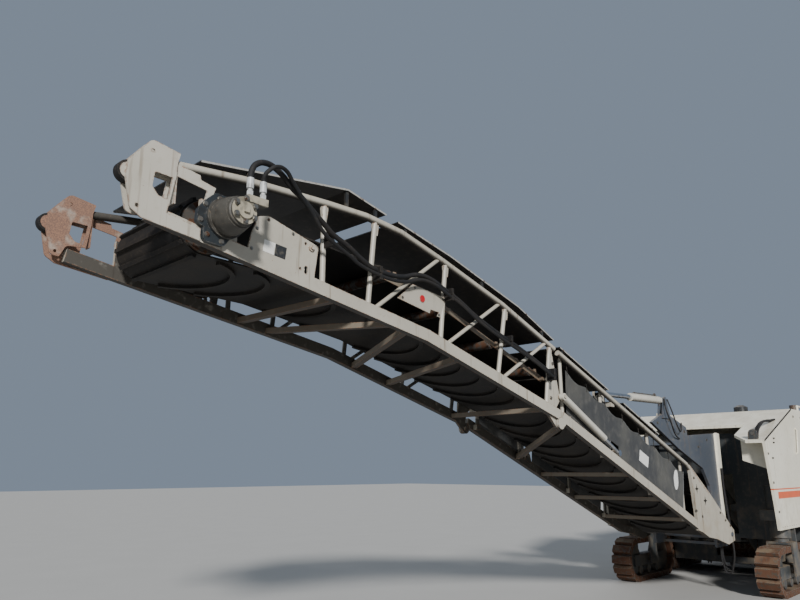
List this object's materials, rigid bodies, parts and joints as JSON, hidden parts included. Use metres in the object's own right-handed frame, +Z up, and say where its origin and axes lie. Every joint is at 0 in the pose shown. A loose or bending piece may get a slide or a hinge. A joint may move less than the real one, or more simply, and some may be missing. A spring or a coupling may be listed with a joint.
{
  "type": "cold planer milling machine on four tracks",
  "caption": "Large cold planer on four tracks with a slewing, lifting and folding discharge conveyor at its front.",
  "frame": {"origin": "on the ground, at the middle of the machine's length and width", "axes": "+X forwards to the conveyor's tip, +Y to the machine's left, +Z up"},
  "size_m": [15.2, 2.5, 3.8381],
  "materials": {
    "chassis_paint": "satin dark grey paint, dusty",
    "body_paint": "semi-gloss cream paint",
    "conveyor_paint": "satin grey-beige paint, rusty along its edges",
    "mast_paint": "satin blue-grey paint",
    "belt_rubber": "matt black rubber, dusty",
    "black_rubber": "matt black rubber",
    "drum_steel": "worn bare steel",
    "track_steel": "rusty cast steel with worn pads",
    "cylinder_paint": "gloss pale grey paint",
    "rod_chrome": "polished chrome",
    "canvas": "dark grey coated canvas",
    "cover_sheet": "satin black paint with a pale edge",
    "engine_iron": "painted casting",
    "motor_paint": "satin grey paint with oil film",
    "cab_plastic": "moulded black plastic",
    "seat_fabric": "black upholstery"
  },
  "bodies": {
    "chassis": {"main_frame": "chassis_paint", "front_wall": "chassis_paint", "leg_sleeves": "chassis_paint", "front_body": "body_paint", "rear_body": "body_paint", "rear_bumper": "chassis_paint", "engine_block": "engine_iron", "platform": "chassis_paint", "handrails": "body_paint", "consoles": "cab_plastic", "seats": "seat_fabric", "feed_frame": "chassis_paint", "feed_belt": "belt_rubber", "feed_drums": "drum_steel", "drum_housing": "chassis_paint", "grilles": "chassis_paint"},
    "engine_hood": {"engine_hood": "body_paint"},
    "milling_drum": {"milling_drum": "drum_steel"},
    "side_plate_left": {"side_plate_left": "drum_steel"},
    "side_plate_right": {"side_plate_right": "drum_steel"},
    "moldboard": {"moldboard": "drum_steel"},
    "mast": {"mast": "mast_paint"},
    "lift_barrels": {"lift_barrels": "cylinder_paint"},
    "lift_rods": {"lift_rods": "rod_chrome"},
    "conveyor_rear": {"conveyor_rear_frame": "conveyor_paint", "conveyor_rear_tubes": "conveyor_paint", "conveyor_rear_truss": "conveyor_paint", "lift_yoke": "conveyor_paint", "fold_lugs": "conveyor_paint", "belt_rear": "belt_rubber", "tail_drum": "drum_steel", "covers_rear": "cover_sheet", "side_canvas": "canvas", "cross_braces_rear": "conveyor_paint"},
    "conveyor_front": {"conveyor_front_frame": "conveyor_paint", "conveyor_front_tubes": "conveyor_paint", "conveyor_front_truss": "conveyor_paint", "head_plates": "conveyor_paint", "head_bumpers": "black_rubber", "head_drum": "drum_steel", "belt_front": "belt_rubber", "conveyor_motor": "motor_paint", "covers_front": "cover_sheet", "reflector_plates": "conveyor_paint", "cross_braces_front": "conveyor_paint", "hoses_front": "black_rubber"},
    "fold_barrels": {"fold_barrels": "cylinder_paint"},
    "fold_rods": {"fold_rods": "rod_chrome"},
    "track_unit_front_left": {"track_front_left": "track_steel", "carrier_front_left": "chassis_paint"},
    "track_unit_front_right": {"track_front_right": "track_steel", "carrier_front_right": "chassis_paint"},
    "track_unit_rear_left": {"track_rear_left": "track_steel", "carrier_rear_left": "chassis_paint"},
    "track_unit_rear_right": {"track_rear_right": "track_steel", "carrier_rear_right": "chassis_paint"}
  },
  "joints": [
    {"name": "steer_front_left", "type": "hinge", "parent": "chassis", "child": "track_unit_front_left", "pos_m": [-2.45, 1.06, 0.7], "axis": [0, 0, 1], "range_deg": [-20, 20]},
    {"name": "steer_front_right", "type": "hinge", "parent": "chassis", "child": "track_unit_front_right", "pos_m": [-2.45, -1.06, 0.7], "axis": [0, 0, 1], "range_deg": [-20, 20]},
    {"name": "steer_rear_left", "type": "hinge", "parent": "chassis", "child": "track_unit_rear_left", "pos_m": [-6.65, 1.06, 0.7], "axis": [0, 0, 1], "range_deg": [-15, 15]},
    {"name": "steer_rear_right", "type": "hinge", "parent": "chassis", "child": "track_unit_rear_right", "pos_m": [-6.65, -1.06, 0.7], "axis": [0, 0, 1], "range_deg": [-15, 15]},
    {"name": "drum_spin", "type": "hinge", "parent": "chassis", "child": "milling_drum", "pos_m": [-4.3, 0, 0.56], "axis": [0, 1, 0], "continuous": true},
    {"name": "side_plate_left_lift", "type": "slide", "parent": "chassis", "child": "side_plate_left", "axis": [0, 0, 1], "range_m": [0, 0.25]},
    {"name": "side_plate_right_lift", "type": "slide", "parent": "chassis", "child": "side_plate_right", "axis": [0, 0, 1], "range_m": [0, 0.25]},
    {"name": "moldboard_swing", "type": "hinge", "parent": "chassis", "child": "moldboard", "pos_m": [-4.87, 0, 1.03], "axis": [0, 1, 0], "range_deg": [0, 70]},
    {"name": "engine_hood_lift", "type": "hinge", "parent": "chassis", "child": "engine_hood", "pos_m": [-7.465, 0, 2.582], "axis": [0, -1, 0], "range_deg": [0, 50]},
    {"name": "conveyor_slew", "type": "hinge", "parent": "chassis", "child": "mast", "pos_m": [-2.05, 0, 0.71], "axis": [0, 0, 1], "range_deg": [-40, 40]},
    {"name": "conveyor_lift", "type": "hinge", "parent": "mast", "child": "conveyor_rear", "pos_m": [-1.65, 0, 0.83], "axis": [0, -1, 0], "range_deg": [-12, 6]},
    {"name": "lift_barrel_swing", "type": "hinge", "parent": "mast", "child": "lift_barrels", "pos_m": [-0.15, 0, 2.64], "axis": [0, -1, 0], "range_deg": [-30, 15]},
    {"name": "lift_rod_slide", "type": "slide", "parent": "lift_barrels", "child": "lift_rods", "axis": [0.9998, 0, -0.0222], "range_m": [-0.25, 0.5]},
    {"name": "conveyor_fold", "type": "hinge", "parent": "conveyor_rear", "child": "conveyor_front", "pos_m": [2.85, 0, 2.185], "axis": [0, 1, 0], "range_deg": [0, 35]},
    {"name": "fold_barrel_swing", "type": "hinge", "parent": "conveyor_front", "child": "fold_barrels", "pos_m": [2.78, 0, 2.46], "axis": [0, -1, 0], "range_deg": [-1, 40]},
    {"name": "fold_rod_slide", "type": "slide", "parent": "fold_barrels", "child": "fold_rods", "axis": [-0.9021, 0, -0.4315], "range_m": [-0.01, 0.2]}
  ],
  "couplings": [
    {"joint": "steer_front_right", "follows": "steer_front_left", "ratio": 1},
    {"joint": "steer_rear_right", "follows": "steer_rear_left", "ratio": 1},
    {"joint": "lift_barrel_swing", "follows": "conveyor_lift", "ratio": 1.7},
    {"joint": "lift_rod_slide", "follows": "conveyor_lift", "m_per_rad": -1.93},
    {"joint": "fold_barrel_swing", "follows": "conveyor_fold", "ratio": 0.912},
    {"joint": "fold_rod_slide", "follows": "conveyor_fold", "m_per_rad": 0.255}
  ]
}
